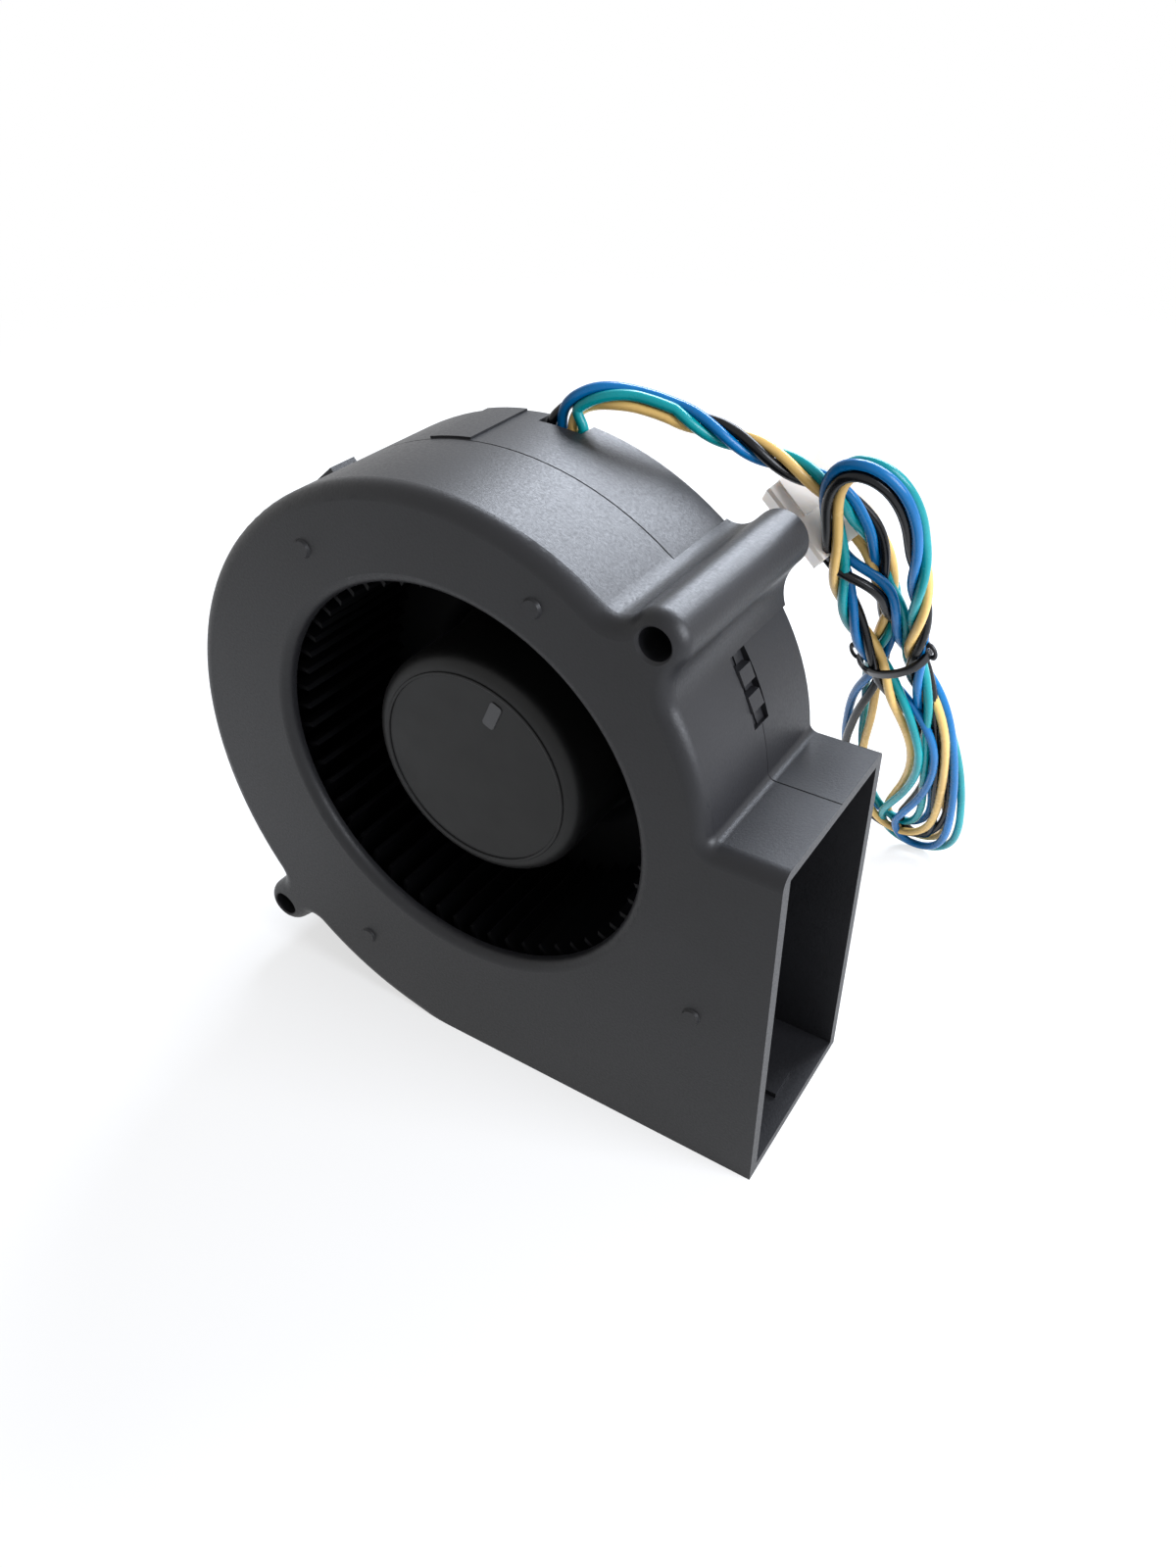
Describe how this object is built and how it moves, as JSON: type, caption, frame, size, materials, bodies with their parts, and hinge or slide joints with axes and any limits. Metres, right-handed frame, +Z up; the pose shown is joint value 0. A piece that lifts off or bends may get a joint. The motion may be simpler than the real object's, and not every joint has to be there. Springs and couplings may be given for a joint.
{
  "type": "cpu cooler blower",
  "caption": "Centrifugal blower for cooling: flat scroll housing with round inlet, side outlet, two mounting tubes and a folded, tied lead with connector.",
  "frame": {"origin": "impeller axis at the plane of the housing's front face", "axes": "+X towards the air outlet, +Y from the front face into the depth, +Z up; the blower stands on the flat side of its scroll"},
  "size_m": [0.1008, 0.0861, 0.0984],
  "materials": {
    "housing_plastic": "fine matt texture",
    "impeller_plastic": "satin",
    "yoke_steel": "satin, plated",
    "magnet": "matt, bonded ferrite",
    "brass": "turned",
    "shaft_steel": "ground",
    "white_nylon": "smooth",
    "bearing_bronze": "sintered, oiled",
    "laminations": "stacked sheet",
    "insulator_plastic": "smooth",
    "enamelled_copper": "gloss enamel",
    "board_laminate": "solder mask",
    "component_black": "moulded",
    "component_ceramic": "ceramic",
    "solder": "bright",
    "wire_insulation": "smooth, four colours",
    "tie_plastic": "smooth",
    "connector_nylon": "milky",
    "contact_metal": "tinned"
  },
  "bodies": {
    "housing": {"front_cover": "housing_plastic", "rear_housing": "housing_plastic", "bearing_tube": "brass", "bearing_sleeve": "bearing_bronze", "oil_ring": "white_nylon", "thrust_pad": "white_nylon", "stator_core": "laminations", "front_insulator": "insulator_plastic", "rear_insulator": "insulator_plastic", "stator_coils": "enamelled_copper", "circuit_board": "board_laminate", "hall_sensor": "component_black", "driver_chip": "component_black", "board_parts": "component_ceramic", "solder_joints": "solder", "inner_leads": "wire_insulation", "lead": "wire_insulation", "lead_hank": "wire_insulation", "twist_tie": "tie_plastic", "connector_housing": "connector_nylon", "connector_contacts": "contact_metal", "connector_leads": "wire_insulation"},
    "rotor": {"impeller": "impeller_plastic", "rotor_yoke": "yoke_steel", "rotor_magnet": "magnet", "rotor_bush": "brass", "shaft": "shaft_steel", "shaft_clip": "white_nylon"}
  },
  "joints": [
    {"name": "impeller_spin", "type": "hinge", "parent": "housing", "child": "rotor", "pos_m": [0, 0, 0], "axis": [0, -1, 0], "continuous": true}
  ]
}
